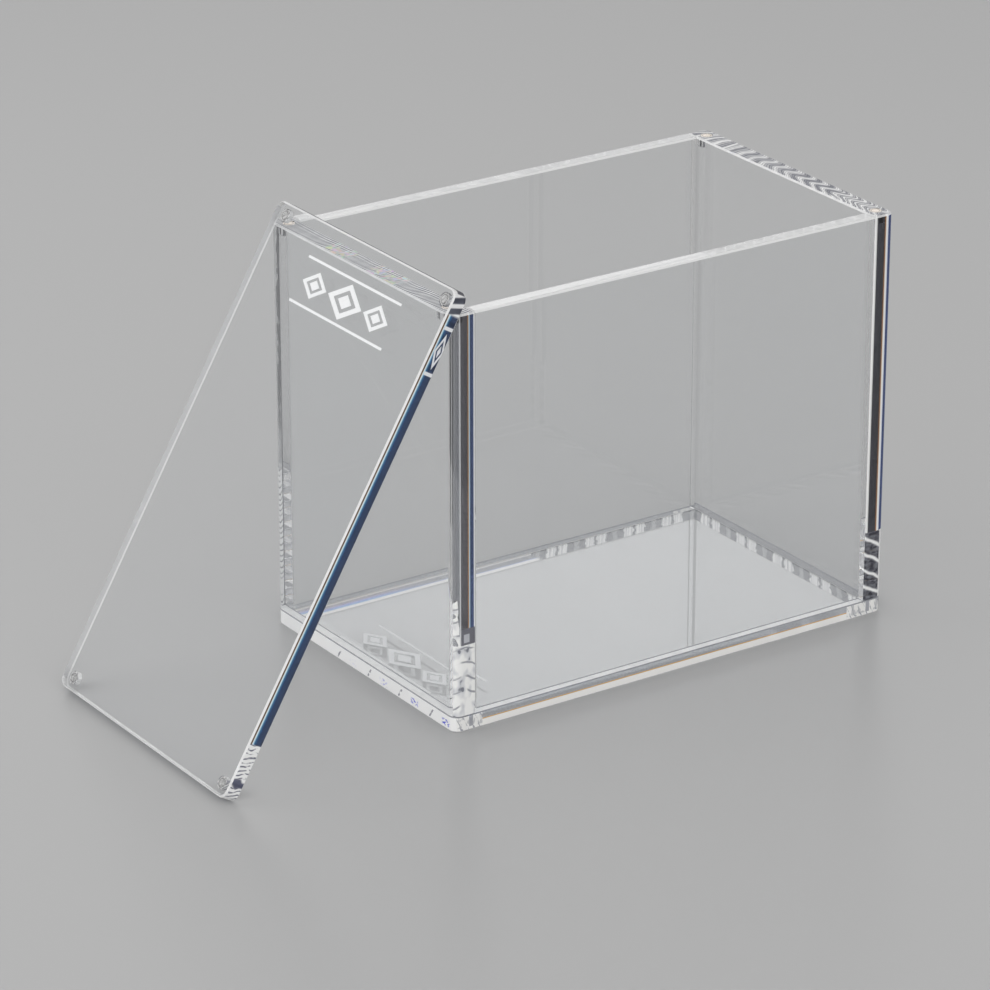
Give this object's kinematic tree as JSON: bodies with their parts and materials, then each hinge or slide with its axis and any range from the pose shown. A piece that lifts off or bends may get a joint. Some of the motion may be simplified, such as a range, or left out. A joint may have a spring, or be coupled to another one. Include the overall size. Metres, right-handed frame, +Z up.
{
  "type": "display case",
  "caption": "Clear acrylic display case for a boxed set of trading cards, open at the top, with a loose lid held by magnets at its corners and shown leaning on the case's end.",
  "frame": {"origin": "middle of the case's underside, where it stands on the table", "axes": "+X along the case's long side, away from the leaning lid; +Y from the front wall to the back wall; +Z up"},
  "size_m": [0.241, 0.099, 0.1402],
  "materials": {
    "clear_acrylic": "polished",
    "nickel_plate": "polished",
    "frosted_engraving": "matte"
  },
  "bodies": {
    "case": {"base_plate": "clear_acrylic", "left_end_wall": "clear_acrylic", "right_end_wall": "clear_acrylic", "front_wall": "clear_acrylic", "back_wall": "clear_acrylic", "case_magnet_left_front": "nickel_plate", "case_magnet_left_back": "nickel_plate", "case_magnet_right_front": "nickel_plate", "case_magnet_right_back": "nickel_plate"},
    "lid": {"lid_plate": "clear_acrylic", "lid_magnet_left_front": "nickel_plate", "lid_magnet_left_back": "nickel_plate", "lid_magnet_right_front": "nickel_plate", "lid_magnet_right_back": "nickel_plate"}
  },
  "joints": [
    {"name": "lid_lift", "type": "slide", "parent": "case", "child": "lid", "axis": [0, 0, 1], "range_m": [0, 0.15]}
  ]
}
